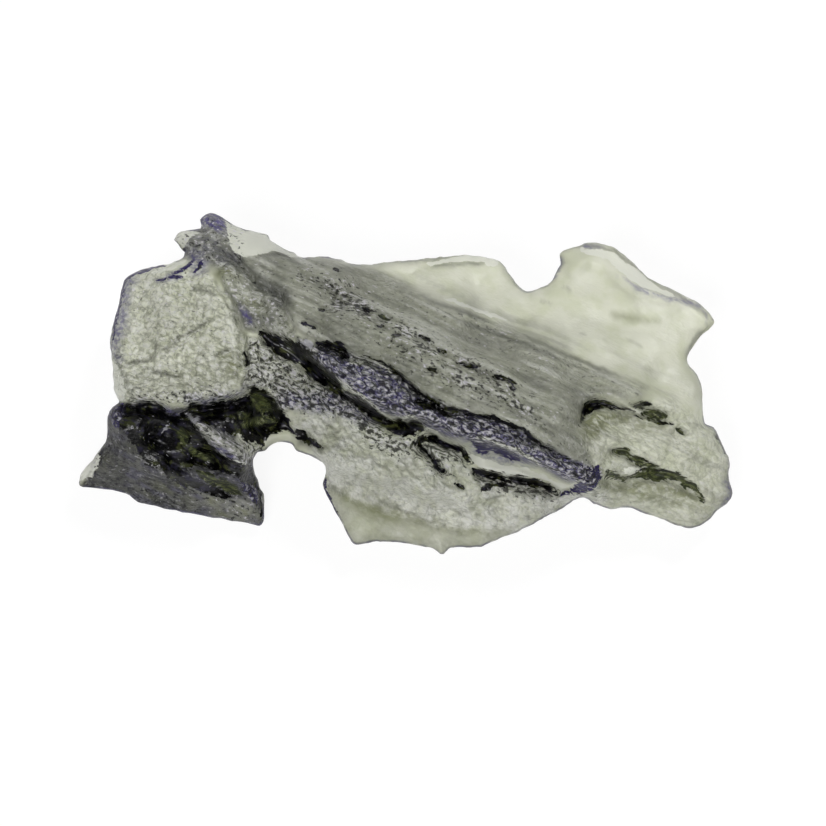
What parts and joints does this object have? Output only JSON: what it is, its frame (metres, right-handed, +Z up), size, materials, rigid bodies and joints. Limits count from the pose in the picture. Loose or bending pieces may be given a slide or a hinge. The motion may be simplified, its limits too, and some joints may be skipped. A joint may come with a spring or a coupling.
{
  "type": "moldavite",
  "caption": "Raw natural green glass, etched all over, with a thick furrowed ridge, a thin sheet behind it, a sloping apron in front, a pale block with a hollow foot and a scooped lobe.",
  "frame": {"origin": "on the table, under the middle of the stone's bounding box", "axes": "+X along the stone's longest extent, from the pale block and foot to the scooped lobe; +Y from the apron to the thin sheet; +Z up, its shortest extent, as it rests on its flat spot"},
  "size_m": [0.0328, 0.017, 0.0092],
  "materials": {
    "moldavite_glass": "natural grey-green glass, satin from etching, glossy in the fresh furrows, dark olive in the crevices with a violet tint along the edges"
  },
  "bodies": {
    "root": {"moldavite": "moldavite_glass"}
  },
  "joints": []
}
